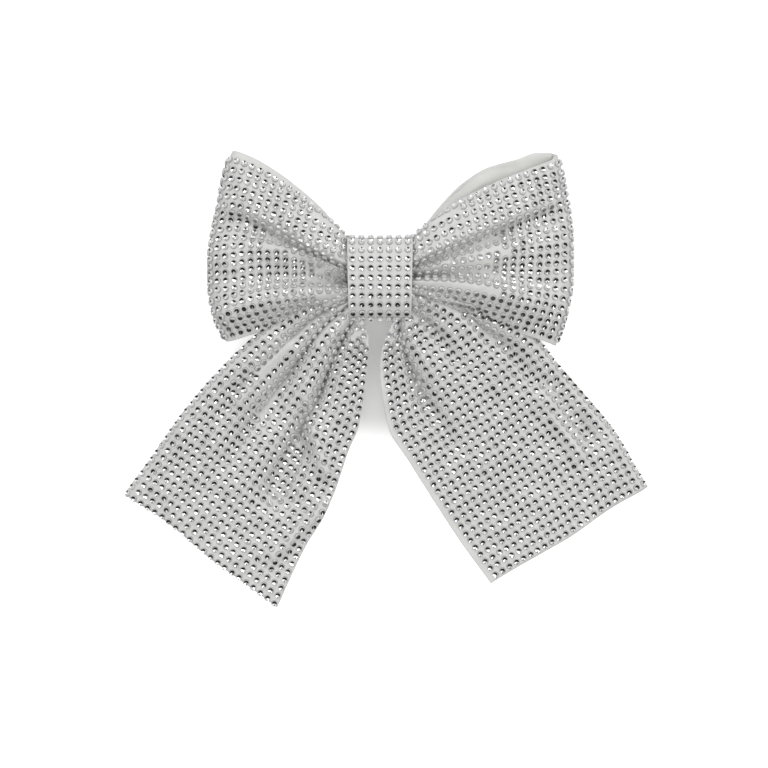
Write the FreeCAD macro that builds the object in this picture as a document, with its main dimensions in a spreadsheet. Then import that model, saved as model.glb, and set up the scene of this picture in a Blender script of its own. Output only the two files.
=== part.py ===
import FreeCAD, Part

import math
import os

import Sketcher
from FreeCAD import Placement, Rotation, Vector

# A rhinestone ribbon bow brooch on a safety bar pin, as it is worn.
# X runs to the viewer's right, Y from the bow's front into the garment, and Z up.
# The origin is the middle of the pin stem's shank. Sizes are in millimetres.

SIZES = [
    # alias, value, what it is
    ("cloth", 0.8, "thickness of the studded face cloth"),
    ("lining", 0.35, "thickness of the satin lining"),
    ("glue_line", 0.05, "gap between cloth and lining"),
    ("band_half_width", 9.8, "knot band, half its width along X"),
    ("band_top", 10.8, "knot band, upper edge"),
    ("band_bottom", -14.1, "knot band, lower edge"),
    ("band_front", -19.2, "knot band, front face"),
    ("band_back", -5.9, "knot band, back face"),
    ("band_corner", 4.0, "knot band, outer corner radius"),
    ("neck_front", -16.6, "gathered cloth inside the knot, front"),
    ("neck_back", -8.3, "gathered cloth inside the knot, back"),
    ("neck_top", 8.2, "loops' gathers inside the knot, top"),
    ("neck_split", -3.0, "where the loops' gathers lie on the tails'"),
    ("neck_bottom", -11.5, "tails' gathers inside the knot, bottom"),
    ("neck_gap", 0.3, "gap between the two layers of gathers"),
    ("middle_gap", 0.1, "half the gap between left and right gathers"),
    ("thread", 0.55, "thickness of the thread winding"),
    ("thread_gap", 0.05, "gap between the winding and the gathers"),
    ("thread_width", 3.0, "width of the thread winding"),
    ("root_x", 10.1, "where loops and tails leave the band"),
    ("root_wall", 4.0, "length of the closed, gathered root of a loop"),
    ("low_front", -11.8, "loop front at its lower corner"),
    ("low_back", -6.8, "loop back at its lower corner"),
    ("mid_front", -19.6, "loop front at its fullest"),
    ("mid_back", -6.0, "loop back at its fullest"),
    ("high_front", -16.0, "loop front at its upper corner"),
    ("high_back", -8.0, "loop back at its upper corner"),
    ("root_low_front", -11.5, "loop root front, low"),
    ("root_mid_front", -15.5, "loop root front, middle"),
    ("root_high_front", -13.5, "loop root front, high"),
    ("root_back", -7.5, "loop root back"),
    ("tail_arc_y", -355.0, "centre of the tails' side curve"),
    ("tail_arc_z", -95.0, "centre of the tails' side curve"),
    ("tail_radius", 348.6, "radius of the tails' front face"),
    ("tail_top", -4.0, "top of the uncut tail sheet"),
    ("tail_bottom", -102.0, "bottom of the uncut tail sheet"),
    ("tail_span", 84.0, "half width of the uncut tail sheet"),
    ("tongue", 1.4, "how far a tail's sheet reaches into its gathers"),
    ("stone_radius", 1.0, "flat back of a rhinestone"),
    ("stone_table", 0.55, "flat top of a rhinestone"),
    ("stone_height", 0.75, "height of a rhinestone"),
    ("stone_pitch", 2.71, "rhinestone pitch on the band"),
    ("felt_half_length", 21.0, "felt pad, half its length"),
    ("felt_half_height", 7.5, "felt pad, half its height"),
    ("felt_corner", 6.0, "felt pad, corner radius"),
    ("felt_front", -5.7, "felt pad, face against the bow"),
    ("felt_back", -4.5, "felt pad, face against the pin bar"),
    ("glue_half_length", 17.5, "glue under the pin bar, half its length"),
    ("glue_half_height", 1.9, "glue under the pin bar, half its height"),
    ("glue_patch", 8.5, "glue patch on the band's back, half its length"),
    ("patch_half_height", 6.5, "glue patch on the band's back, half its height"),
    ("glue_corner", 1.5, "corner radius of both glue layers"),
    ("bar_half_length", 19.0, "pin bar, half its length"),
    ("bar_half_height", 2.5, "pin bar, half its height"),
    ("bar_corner", 2.4, "pin bar, end radius"),
    ("bar_edge", 0.2, "pin bar, rounded edge"),
    ("bar_front", -4.3, "pin bar, face against the felt"),
    ("bar_back", -3.5, "pin bar, face against the garment"),
    ("bar_hole", 0.9, "pin bar, radius of its glue holes"),
    ("bar_hole_x", 6.0, "pin bar, place of its glue holes"),
    ("hinge_x", -16.0, "hinge axis"),
    ("ear_radius", 1.3, "hinge ear, rounded end"),
    ("ear_hole", 0.62, "hinge ear, rivet hole radius"),
    ("ear_inner", 1.0, "half the gap between the ears"),
    ("ear_outer", 1.6, "half the width over the ears"),
    ("rivet_radius", 0.6, "hinge rivet shank"),
    ("rivet_head", 1.1, "hinge rivet head radius"),
    ("rivet_head_height", 0.4, "hinge rivet head height"),
    ("rivet_play", 0.02, "gap between rivet head and ear"),
    ("eye_radius", 1.2, "stem eye, outside"),
    ("eye_bore", 0.65, "stem eye, bore radius"),
    ("eye_half_width", 0.9, "stem eye, half its width along the axis"),
    ("wire_radius", 0.65, "stem wire at its eye"),
    ("wire_start", 0.8, "distance from the hinge axis to the wire"),
    ("shank_radius", 0.45, "stem shank"),
    ("shank_half_length", 12.75, "half the length of the even shank"),
    ("tip_radius", 0.36, "stem in the catch"),
    ("tip_x", 17.3, "start of the stem's point"),
    ("point_radius", 0.05, "blunt of the stem's point"),
    ("point_x", 19.4, "end of the stem's point"),
    ("catch_x", 13.9, "catch, hinge side"),
    ("catch_length", 3.8, "catch, length along the stem"),
    ("catch_ring", 0.75, "catch, length of each ring"),
    ("ring_radius", 1.9, "catch ring, outside"),
    ("ring_bore", 1.25, "catch ring, bore radius"),
    ("ring_slot", 0.7, "catch ring, half its slot"),
    ("catch_floor", -1.65, "catch, base under the rotor"),
    ("rotor_radius", 1.2, "rotor journal"),
    ("rotor_flange", 1.5, "rotor between the rings"),
    ("rotor_play", 0.05, "gap between rotor flange and rings"),
    ("rotor_bore", 0.75, "rotor bore radius"),
    ("rotor_slot", 0.6, "half the rotor's slot"),
    ("tab_reach", 2.7, "rotor thumb tab, reach from the axis"),
    ("tab_half", 0.4, "rotor thumb tab, half its thickness"),
]

# Corners of the two loops seen from the front: distance from the middle, and height.
LOOPS = {
    "left": {"high": (44.4, 36.3), "mid": (51.3, 5.0), "low": (46.5, -20.5)},
    "right": {"high": (53.1, 36.0), "mid": (57.6, 5.0), "low": (52.8, -21.6)},
}
# The cut edges of the loops, from the root out to the corner.
LOOP_TOPS = {
    "left": [(10.1, 10.5), (24.0, 25.5), (37.5, 34.2), (44.4, 36.3)],
    "right": [(10.1, 10.8), (25.5, 26.5), (37.0, 33.0), (53.1, 36.0)],
}
LOOP_BOTTOMS = {
    "left": [(10.1, -9.0), (30.0, -17.0), (46.5, -20.5)],
    "right": [(10.1, -9.0), (32.0, -17.0), (52.8, -21.6)],
}
# The tails seen from the front, from the top of the root round the outer edge and the hem.
TAILS = {
    "left": [
        (10.1, -6.4), (20.0, -8.2), (27.0, -12.0), (38.4, -19.2), (49.8, -30.3),
        (60.0, -42.0), (77.7, -66.0), (54.0, -83.7), (31.2, -100.2), (27.8, -93.6),
        (16.4, -72.0), (9.4, -53.1), (4.5, -33.8), (3.3, -20.4), (3.6, -15.2),
        (10.1, -15.2),
    ],
    "right": [
        (10.1, -6.4), (27.0, -7.6), (37.8, -13.1), (46.2, -18.2), (54.4, -28.0),
        (64.7, -39.5), (81.3, -63.9), (52.1, -83.7), (33.6, -93.7), (24.6, -81.3),
        (8.4, -56.1), (1.2, -40.1), (0.6, -27.0), (3.3, -17.1), (3.9, -15.2),
        (10.1, -15.2),
    ],
}
SIDES = {"left": -1, "right": 1}
CATCH_MARGIN = 0.5  # how far a cutting shape runs past what it cuts
TRIM_REACH = 10  # how far a loop's trimming shape runs past its edges
NECK_STEP_OUT = 0.5  # how far a loop's neck runs into the loop
NECK_STEP_IN = 0.1  # how far a tail's neck stops short of the tail
EAR_ROOT = 0.4  # how far the hinge ears start inside the bar
EAR_REACH = 2  # how far the gap between the ears is cut
CUT_SPARE = 1  # spare length of a cut that goes right through
FIRST_STONE_COLUMN = -3
LAST_STONE_COLUMN = 3
LAST_STONE_ROW = 6


class Size:
    """A length together with the spreadsheet expression that gives it."""

    def __init__(self, text, number):
        self.text = text
        self.number = number

    def __add__(self, other):
        other = as_size(other)
        return Size(f"({self.text} + {other.text})", self.number + other.number)

    def __sub__(self, other):
        other = as_size(other)
        return Size(f"({self.text} - {other.text})", self.number - other.number)

    def __mul__(self, factor):
        return Size(f"({self.text} * {factor})", self.number * factor)

    def __neg__(self):
        return self * -1


def as_size(value):
    """Takes a Size or a plain number."""
    if isinstance(value, Size):
        return value
    return Size(f"({value})", float(value))


def make_sheet(doc):
    """Writes every driving dimension into the sheet and returns them as sizes by alias."""
    sheet = doc.addObject("Spreadsheet::Sheet", "Sizes")
    rows = list(SIZES)
    for side in SIDES:
        for corner, (x, z) in LOOPS[side].items():
            rows.append((f"{side}_{corner}_x", x, f"{side} loop, {corner} corner"))
            rows.append((f"{side}_{corner}_z", z, f"{side} loop, {corner} corner"))
        for edge, outlines in (("top", LOOP_TOPS), ("bottom", LOOP_BOTTOMS), ("tail", TAILS)):
            for count, (x, z) in enumerate(outlines[side], start=1):
                rows.append((f"{side}_{edge}_{count}_x", x, f"{side} {edge} outline"))
                rows.append((f"{side}_{edge}_{count}_z", z, f"{side} {edge} outline"))
    sizes = {}
    for row, (alias, value, note) in enumerate(rows, start=1):
        sheet.set(f"A{row}", note)
        sheet.set(f"B{row}", str(value))
        sheet.setAlias(f"B{row}", alias)
        sizes[alias] = Size(f"Sizes.{alias}", value)
    doc.recompute()
    return sizes


def new_body(doc, name):
    """Starts a sub-part whose label names its file."""
    body = doc.addObject("PartDesign::Body", name)
    body.Label = name
    return body


def new_sketch(body, name, plane, offset=0):
    """Attaches a sketch to one of the body's origin planes, moved along the plane's normal."""
    planes = {feature.Role: feature for feature in body.Origin.OriginFeatures}
    sketch = body.newObject("Sketcher::SketchObject", f"{body.Label}_{name}")
    sketch.AttachmentSupport = (planes[plane], [""])
    sketch.MapMode = "FlatFace"
    offset = as_size(offset)
    sketch.AttachmentOffset = Placement(Vector(0, 0, offset.number), Rotation())
    sketch.setExpression("AttachmentOffset.Base.z", offset.text)
    return sketch


def pin_coordinate(sketch, kind, edge, vertex, size):
    """Ties one coordinate of a point to the sheet."""
    constraint = Sketcher.Constraint(kind, -1, 1, edge, vertex, size.number)
    index = sketch.addConstraint(constraint)
    sketch.setExpression(f"Constraints[{index}]", size.text)


def draw_outline(sketch, corners, arcs=None):
    """Draws a closed outline with every corner tied to the sheet.

    arcs gives, for the edge that starts at a corner, the arc's centre, the coordinate of
    the centre that is tied ("x" or "y") and whether the arc runs anticlockwise.
    """
    arcs = arcs or {}
    corners = [(as_size(x), as_size(y)) for x, y in corners]
    points = [Vector(x.number, y.number, 0) for x, y in corners]
    ends = []
    for index, start in enumerate(points):
        stop = points[(index + 1) % len(points)]
        if index not in arcs:
            edge = sketch.addGeometry(Part.LineSegment(start, stop), False)
            ends.append((edge, 1, 2))
            continue
        centre, tied, anticlockwise = arcs[index]
        centre = [as_size(value) for value in centre]
        middle = Vector(centre[0].number, centre[1].number, 0)
        first, last = (start, stop) if anticlockwise else (stop, start)
        angles = [math.atan2(p.y - middle.y, p.x - middle.x) for p in (first, last)]
        if angles[1] <= angles[0]:
            angles[1] += 2 * math.pi
        circle = Part.Circle(middle, Vector(0, 0, 1), (first - middle).Length)
        edge = sketch.addGeometry(Part.ArcOfCircle(circle, *angles), False)
        ends.append((edge, 1, 2) if anticlockwise else (edge, 2, 1))
        kind, value = ("DistanceX", centre[0]) if tied == "x" else ("DistanceY", centre[1])
        pin_coordinate(sketch, kind, edge, 3, value)
    for index, (edge, start, _) in enumerate(ends):
        before, _, stop = ends[index - 1]
        sketch.addConstraint(Sketcher.Constraint("Coincident", before, stop, edge, start))
        pin_coordinate(sketch, "DistanceX", edge, start, corners[index][0])
        pin_coordinate(sketch, "DistanceY", edge, start, corners[index][1])


def draw_circle(sketch, centre, radius):
    """Draws a circle tied to the sheet."""
    x, y = [as_size(value) for value in centre]
    middle = Vector(x.number, y.number, 0)
    edge = sketch.addGeometry(Part.Circle(middle, Vector(0, 0, 1), radius.number), False)
    pin_coordinate(sketch, "DistanceX", edge, 3, x)
    pin_coordinate(sketch, "DistanceY", edge, 3, y)
    index = sketch.addConstraint(Sketcher.Constraint("Radius", edge, radius.number))
    sketch.setExpression(f"Constraints[{index}]", radius.text)


def draw_box(sketch, low, high):
    """Draws a rectangle between two corners."""
    draw_outline(sketch, [low, (high[0], low[1]), high, (low[0], high[1])])


def draw_rounded_box(sketch, low, high, radius):
    """Draws a rectangle between two corners, with its own corners rounded."""
    (left, below), (right, above) = low, high
    inner_left, inner_right = left + radius, right - radius
    inner_below, inner_above = below + radius, above - radius
    corners = [
        (inner_left, below), (inner_right, below), (right, inner_below), (right, inner_above),
        (inner_right, above), (inner_left, above), (left, inner_above), (left, inner_below),
    ]
    arcs = {
        1: ((inner_right, inner_below), "x", True),
        3: ((inner_right, inner_above), "x", True),
        5: ((inner_left, inner_above), "x", True),
        7: ((inner_left, inner_below), "x", True),
    }
    draw_outline(sketch, corners, arcs)


def pad(body, sketch, length, symmetric=False, backward=False):
    """Pads a sketch, along its normal unless told otherwise."""
    feature = body.newObject("PartDesign::Pad", f"{sketch.Label}_pad")
    feature.Profile = sketch
    length = as_size(length)
    feature.Length = length.number
    feature.setExpression("Length", length.text)
    feature.SideType = "Symmetric" if symmetric else "One side"
    feature.Reversed = backward
    return feature


def pocket(body, sketch, length=None):
    """Pockets a sketch both ways from its plane: right through, or to a whole length."""
    feature = body.newObject("PartDesign::Pocket", f"{sketch.Label}_pocket")
    feature.Profile = sketch
    feature.SideType = "Symmetric"
    if length is None:
        feature.Type = "ThroughAll"
    else:
        feature.Length = length.number
        feature.setExpression("Length", length.text)
    return feature


def round_edges(body, base, names, radius):
    """Rounds named edges of the last feature."""
    feature = body.newObject("PartDesign::Fillet", f"{base.Label}_round")
    feature.Base = (base, names)
    feature.Radius = radius.number
    feature.setExpression("Radius", radius.text)
    return feature


def make_band_layer(doc, size, name, inset, wall):
    """One closed layer of the knot band, a rounded ring run along X."""
    body = new_body(doc, name)
    sketch = new_sketch(body, "ring", "YZ_Plane")
    for depth in (inset, inset + wall):
        low = (size["band_front"] + depth, size["band_bottom"] + depth)
        high = (size["band_back"] - depth, size["band_top"] - depth)
        draw_rounded_box(sketch, low, high, size["band_corner"] - depth)
    pad(body, sketch, size["band_half_width"] * 2, symmetric=True)
    return body


def loop_section(body, size, side, corner, label, inset, root_inset):
    """The level section of a loop through one of its corners: root, front, fold and back."""
    hand = SIDES[side]
    root = (size["root_x"] + root_inset) * hand
    front = size[f"{corner}_front"] + inset
    back = size[f"{corner}_back"] - inset
    root_front = size[f"root_{corner}_front"] + inset
    root_back = size["root_back"] - inset
    middle = (front + back) * 0.5
    fold = (size[f"{side}_{corner}_x"] - inset) - (back - front) * 0.5
    sketch = new_sketch(body, f"{corner}_{label}", "XY_Plane", size[f"{side}_{corner}_z"])
    corners = [(root, root_front), (fold * hand, front), (fold * hand, back), (root, root_back)]
    draw_outline(sketch, corners, {1: ((fold * hand, middle), "x", hand > 0)})
    return sketch


def loft(body, kind, sections, name):
    """Lofts straight from section to section."""
    feature = body.newObject(f"PartDesign::{kind}", f"{body.Label}_{name}")
    feature.Profile = sections[0]
    feature.Sections = sections[1:]
    feature.Ruled = True
    return feature


def trim_loop(body, size, side, edge, limit):
    """Cuts a loop along its upper or lower edge, as seen from the front."""
    hand = SIDES[side]
    count = len((LOOP_TOPS if edge == "top" else LOOP_BOTTOMS)[side])
    corners = []
    for index in range(1, count + 1):
        across = size[f"{side}_{edge}_{index}_x"] * hand
        corners.append((across, size[f"{side}_{edge}_{index}_z"]))
    inside = size["root_x"] * (0.5 * hand)
    corners = [(inside, corners[0][1])] + corners
    corners += [(corners[-1][0], limit), (inside, limit)]
    sketch = new_sketch(body, f"{edge}_edge", "XZ_Plane")
    draw_outline(sketch, corners)
    pocket(body, sketch)


def make_loop_layer(doc, size, side, name, inset, wall, with_neck):
    """One layer of a loop: a flattened ring of cloth that is closed at its gathered root."""
    body = new_body(doc, name)
    skin = inset + wall
    start = size["cloth"] * 0 if with_neck else size["root_wall"] + inset
    for kind, label, depth, root in (
        ("AdditiveLoft", "outside", inset, start),
        ("SubtractiveLoft", "hollow", skin, size["root_wall"] + skin),
    ):
        sections = [
            loop_section(body, size, side, corner, label, depth, root)
            for corner in ("low", "mid", "high")
        ]
        loft(body, kind, sections, label)
    trim_loop(body, size, side, "top", size[f"{side}_high_z"] + TRIM_REACH)
    trim_loop(body, size, side, "bottom", size[f"{side}_low_z"] - TRIM_REACH)
    if with_neck:
        add_neck(body, size, side, size["neck_split"], size["neck_top"], size["root_x"] + NECK_STEP_OUT)
    return body


def add_neck(body, size, side, low, high, reach):
    """Adds the gathered cloth that runs from the band's side to the middle of the knot."""
    hand = SIDES[side]
    sketch = new_sketch(body, "neck", "XZ_Plane", -size["neck_back"])
    draw_box(sketch, (size["middle_gap"] * hand, low), (reach * hand, high))
    pad(body, sketch, size["neck_back"] - size["neck_front"])


def make_tail_layer(doc, size, side, name, inset, wall, with_neck):
    """One layer of a tail: a sheet curved in side view and cut to the tail's outline."""
    body = new_body(doc, name)
    hand = SIDES[side]
    centre = (size["tail_arc_y"], size["tail_arc_z"])
    corners = []
    for radius in (size["tail_radius"] + inset, size["tail_radius"] + inset + wall):
        for level in (size["tail_top"], size["tail_bottom"]):
            rise = level - centre[1]
            number = centre[0].number + math.sqrt(radius.number**2 - rise.number**2)
            text = f"({centre[0].text} + sqrt({radius.text}^2 - {rise.text}^2))"
            corners.append((Size(text, number), level))
    corners = [corners[0], corners[1], corners[3], corners[2]]
    side_view = new_sketch(body, "side_view", "YZ_Plane")
    draw_outline(side_view, corners, {0: (centre, "y", False), 2: (centre, "y", True)})
    pad(body, side_view, size["tail_span"], backward=hand < 0)
    outline = []
    for index in range(1, len(TAILS[side]) + 1):
        across = size[f"{side}_tail_{index}_x"] * hand
        outline.append((across, size[f"{side}_tail_{index}_z"]))
    if with_neck:
        tongue = (size["root_x"] - size["tongue"]) * hand
        outline += [(size["root_x"] * hand, size["neck_bottom"]), (tongue, size["neck_bottom"])]
        outline += [(tongue, outline[0][1])]
    cut = new_sketch(body, "outline", "XZ_Plane")
    draw_outline(cut, outline)
    over = size["tail_span"] + CUT_SPARE
    frame = [(-1 * hand, 0), (over * hand, 0), (over * hand, size["tail_bottom"] - 1)]
    draw_outline(cut, frame + [(-1 * hand, size["tail_bottom"] - 1)])
    pocket(body, cut)
    if with_neck:
        top = size["neck_split"] - size["neck_gap"]
        add_neck(body, size, side, size["neck_bottom"], top, size["root_x"] - NECK_STEP_IN)
    return body


def make_binding_thread(doc, size):
    """The winding that holds the gathers, as one flat ring round them."""
    body = new_body(doc, "binding_thread")
    sketch = new_sketch(body, "winding", "YZ_Plane")
    for depth in (size["thread_gap"], size["thread_gap"] + size["thread"]):
        low = (size["neck_front"] - depth, size["neck_bottom"] - depth)
        draw_rounded_box(sketch, low, (size["neck_back"] + depth, size["neck_top"] + depth), depth)
    pad(body, sketch, size["thread_width"], symmetric=True)
    return body


def band_place(size, distance):
    """A point of the band's outer face, a distance up from its front's middle, and its turn."""
    top, bottom = size["band_top"].number, size["band_bottom"].number
    front, corner = size["band_front"].number, size["band_corner"].number
    up = 1 if distance >= 0 else -1
    middle = (top + bottom) / 2
    straight = (top - bottom) / 2 - corner
    left_over = abs(distance) - straight
    if left_over <= 0:
        return Vector(0, front, middle + distance), 0.0
    turn = min(left_over / corner, math.pi / 2)
    beyond = max(left_over - corner * math.pi / 2, 0)
    y = front + corner - corner * math.cos(turn) + beyond
    z = middle + up * (straight + corner * math.sin(turn))
    return Vector(0, y, z), up * turn


def make_knot_rhinestones(doc, size):
    """The flat-backed stones glued round the band's front, top and bottom."""
    stone = Part.makeCone(
        size["stone_radius"].number,
        size["stone_table"].number,
        size["stone_height"].number,
        Vector(0, 0, 0),
        Vector(0, -1, 0),
    )
    pitch = size["stone_pitch"].number
    stones = []
    for row in range(-LAST_STONE_ROW, LAST_STONE_ROW + 1):
        place, turn = band_place(size, row * pitch)
        for column in range(FIRST_STONE_COLUMN, LAST_STONE_COLUMN + 1):
            copy = stone.copy()
            tilt = Rotation(Vector(1, 0, 0), -math.degrees(turn))
            copy.Placement = Placement(place + Vector(column * pitch, 0, 0), tilt)
            stones.append(copy)
    group = doc.addObject("Part::Feature", "knot_rhinestones")
    group.Label = "knot_rhinestones"
    group.Shape = Part.makeCompound(stones)
    return group


def make_slab(doc, size, name, half_length, half_height, front, back, corner):
    """A flat layer with rounded corners behind the bow, between two depths."""
    body = new_body(doc, name)
    sketch = new_sketch(body, "face", "XZ_Plane", -back)
    draw_rounded_box(sketch, (-half_length, -half_height), (half_length, half_height), corner)
    pad(body, sketch, back - front)
    return body


def make_pin_bar(doc, size):
    """The bar with its hinge ears and the fixed rings of its catch, one pressed piece."""
    body = make_slab(
        doc,
        size,
        "pin_bar",
        size["bar_half_length"],
        size["bar_half_height"],
        size["bar_front"],
        size["bar_back"],
        size["bar_corner"],
    )
    holes = new_sketch(body, "holes", "XZ_Plane")
    for hand in SIDES.values():
        draw_circle(holes, (size["bar_hole_x"] * hand, 0), size["bar_hole"])
    pocket(body, holes)
    doc.recompute()
    back = size["bar_back"].number
    rim = [
        f"Edge{index}"
        for index, edge in enumerate(body.Shape.Edges, start=1)
        if all(abs(vertex.Point.y - back) < 0.001 for vertex in edge.Vertexes)
        and abs(edge.CenterOfMass.x) + edge.BoundBox.ZLength > size["bar_half_height"].number * 2
    ]
    round_edges(body, body.Tip, rim, size["bar_edge"])
    root = size["bar_back"] - EAR_ROOT
    ears = new_sketch(body, "ears", "XY_Plane")
    hinge = (size["hinge_x"], 0)
    left, right = size["hinge_x"] - size["ear_radius"], size["hinge_x"] + size["ear_radius"]
    draw_outline(
        ears,
        [(left, root), (right, root), (right, 0), (left, 0)],
        {2: ((size["hinge_x"], 0), "y", True)},
    )
    pad(body, ears, size["ear_outer"] * 2, symmetric=True)
    gap = new_sketch(body, "ear_gap", "XY_Plane")
    draw_box(gap, (left - CATCH_MARGIN, size["bar_back"]), (right + CATCH_MARGIN, EAR_REACH))
    pocket(body, gap, size["ear_inner"] * 2)
    bore = new_sketch(body, "ear_hole", "XY_Plane")
    draw_circle(bore, hinge, size["ear_hole"])
    pocket(body, bore)
    radius = size["ring_radius"]
    rings = new_sketch(body, "rings", "YZ_Plane", size["catch_x"])
    draw_outline(
        rings,
        [(root, -radius), (0, -radius), (0, radius), (root, radius)],
        {1: ((0, 0), "x", True)},
    )
    pad(body, rings, size["catch_length"])
    throat = size["ring_bore"]
    middle = size["catch_x"] + size["catch_length"] * 0.5
    channel = new_sketch(body, "catch_bore", "YZ_Plane", middle)
    draw_circle(channel, (0, 0), throat)
    pocket(body, channel, size["catch_length"] + CUT_SPARE)
    slot = new_sketch(body, "catch_slot", "YZ_Plane", middle)
    draw_box(slot, (0, -size["ring_slot"]), (radius + CATCH_MARGIN, size["ring_slot"]))
    pocket(body, slot, size["catch_length"] + CUT_SPARE)
    window = new_sketch(body, "rotor_window", "YZ_Plane", middle)
    aside = radius + CATCH_MARGIN
    draw_box(window, (size["catch_floor"], -aside), (aside, aside))
    pocket(body, window, size["catch_length"] - size["catch_ring"] * 2)
    return body


def make_hinge_rivet(doc, size):
    """The rivet that the stem swings on, turned about its own axis."""
    body = new_body(doc, "hinge_rivet")
    sketch = new_sketch(body, "half_section", "XZ_Plane")
    inner = size["ear_outer"] + size["rivet_play"]
    outer = inner + size["rivet_head_height"]
    bevel = size["rivet_head_height"] * 0.5
    shank, head = size["rivet_radius"], size["rivet_head"]
    half = [(shank, inner), (head, inner), (head, outer - bevel), (head - bevel, outer)]
    mirrored = [(x, -z) for x, z in reversed(half)]
    draw_outline(sketch, [(0, -outer)] + mirrored + half + [(0, outer)])
    turned = body.newObject("PartDesign::Revolution", "hinge_rivet_turned")
    turned.Profile = sketch
    turned.ReferenceAxis = (sketch, ["V_Axis"])
    turned.Angle = 360
    body.setExpression("Placement.Base.x", size["hinge_x"].text)
    return body


def make_pin_stem(doc, size):
    """The wire that goes through the garment: eye, shank and point."""
    body = new_body(doc, "pin_stem")
    eye = new_sketch(body, "eye", "XY_Plane")
    draw_circle(eye, (size["hinge_x"], 0), size["eye_radius"])
    pad(body, eye, size["eye_half_width"] * 2, symmetric=True)
    profile = new_sketch(body, "half_section", "XY_Plane")
    start = size["hinge_x"] + size["wire_start"]
    reach = size["shank_half_length"]
    outline = [
        (start, 0),
        (start, size["wire_radius"]),
        (-reach, size["wire_radius"]),
        (-reach, size["shank_radius"]),
        (reach, size["shank_radius"]),
        (size["tip_x"], size["tip_radius"]),
        (size["point_x"], size["point_radius"]),
        (size["point_x"], 0),
    ]
    draw_outline(profile, outline)
    wire = body.newObject("PartDesign::Revolution", "pin_stem_wire")
    wire.Profile = profile
    wire.ReferenceAxis = (profile, ["H_Axis"])
    wire.Angle = 360
    bore = new_sketch(body, "bore", "XY_Plane")
    draw_circle(bore, (size["hinge_x"], 0), size["eye_bore"])
    pocket(body, bore)
    return body


def make_catch_rotor(doc, size):
    """The slotted sleeve that turns in the catch's rings and closes over the stem."""
    body = new_body(doc, "catch_rotor")
    middle = size["catch_x"] + size["catch_length"] * 0.5
    gap = size["catch_length"] - (size["catch_ring"] + size["rotor_play"]) * 2
    for name, radius, length in (
        ("journal", size["rotor_radius"], size["catch_length"]),
        ("flange", size["rotor_flange"], gap),
    ):
        sketch = new_sketch(body, name, "YZ_Plane", middle)
        draw_circle(sketch, (0, 0), radius)
        pad(body, sketch, length, symmetric=True)
    half, reach = size["tab_half"], size["tab_reach"]
    tab = new_sketch(body, "tab", "YZ_Plane", middle)
    end = -(reach - half)
    draw_outline(
        tab,
        [(-half, -CUT_SPARE), (-half, end), (half, end), (half, -CUT_SPARE)],
        {1: ((0, end), "y", True)},
    )
    pad(body, tab, gap, symmetric=True)
    bore = new_sketch(body, "bore", "YZ_Plane", middle)
    draw_circle(bore, (0, 0), size["rotor_bore"])
    pocket(body, bore)
    slot = new_sketch(body, "slot", "YZ_Plane", middle)
    draw_box(slot, (0, -size["rotor_slot"]), (size["ring_radius"], size["rotor_slot"]))
    pocket(body, slot)
    return body


def make_parts(doc, size):
    """Builds every sub-part and returns the objects to write."""
    cloth, lining, zero = size["cloth"], size["lining"], size["cloth"] * 0
    behind = cloth + size["glue_line"]
    parts = [
        make_band_layer(doc, size, "knot_band_face", zero, cloth),
        make_band_layer(doc, size, "knot_band_lining", behind, lining),
    ]
    for side in SIDES:
        for kind, make_layer in (("loop", make_loop_layer), ("tail", make_tail_layer)):
            name = f"{kind}_{side}"
            parts.append(make_layer(doc, size, side, f"{name}_face", zero, cloth, True))
            parts.append(make_layer(doc, size, side, f"{name}_lining", behind, lining, False))
    parts.append(make_binding_thread(doc, size))
    parts.append(make_knot_rhinestones(doc, size))
    slabs = (
        ("band_glue", "glue_patch", "patch_half_height", "band_back", "felt_front", "glue_corner"),
        ("felt_pad", "felt_half_length", "felt_half_height", "felt_front", "felt_back", "felt_corner"),
        ("bar_glue", "glue_half_length", "glue_half_height", "felt_back", "bar_front", "glue_corner"),
    )
    for name, *aliases in slabs:
        parts.append(make_slab(doc, size, name, *[size[alias] for alias in aliases]))
    parts.append(make_pin_bar(doc, size))
    parts.append(make_hinge_rivet(doc, size))
    parts.append(make_pin_stem(doc, size))
    parts.append(make_catch_rotor(doc, size))
    return parts


def write_parts(doc, parts):
    """Stops on a failed object or shape, then writes one file per sub-part."""
    for thing in doc.Objects:
        if "Invalid" in thing.State or "Error" in thing.State:
            raise RuntimeError(f"{thing.Label} failed: {thing.State}")
    os.makedirs("parts", exist_ok=True)
    for part in parts:
        if part.Shape.isNull() or not part.Shape.isValid():
            raise RuntimeError(f"{part.Label} has no valid shape")
        part.Shape.exportStep(f"parts/{part.Label}.step")
        box = part.Shape.BoundBox
        ranges = f"x {box.XMin:.1f} {box.XMax:.1f} y {box.YMin:.1f} {box.YMax:.1f}"
        ranges += f" z {box.ZMin:.1f} {box.ZMax:.1f}"
        print(f"{part.Label}: {len(part.Shape.Solids)} solids, {part.Shape.Volume:.1f} mm3, {ranges}")


document = FreeCAD.newDocument("bow_brooch")
all_parts = make_parts(document, make_sheet(document))
document.recompute()
write_parts(document, all_parts)
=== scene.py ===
"""Gathered satin bow brooch, studded all over with small foiled crystals, in front of a white sheet."""

import math

import bmesh
import bpy
import numpy as np
from mathutils import Matrix, Vector, noise


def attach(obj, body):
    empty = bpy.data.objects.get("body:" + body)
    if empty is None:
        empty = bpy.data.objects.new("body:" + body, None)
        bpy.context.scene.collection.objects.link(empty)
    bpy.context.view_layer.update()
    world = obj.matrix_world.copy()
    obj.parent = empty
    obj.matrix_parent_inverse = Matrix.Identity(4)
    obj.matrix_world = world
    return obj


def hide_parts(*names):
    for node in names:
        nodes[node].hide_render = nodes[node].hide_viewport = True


MM = 0.001
RIBBON_WIDTH = 60.0
ROW_COUNT = 22
COLUMN_PITCH = 2.58
STONE_GAP = 1.75
CLOTH = 0.8
LINING = 0.35

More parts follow.
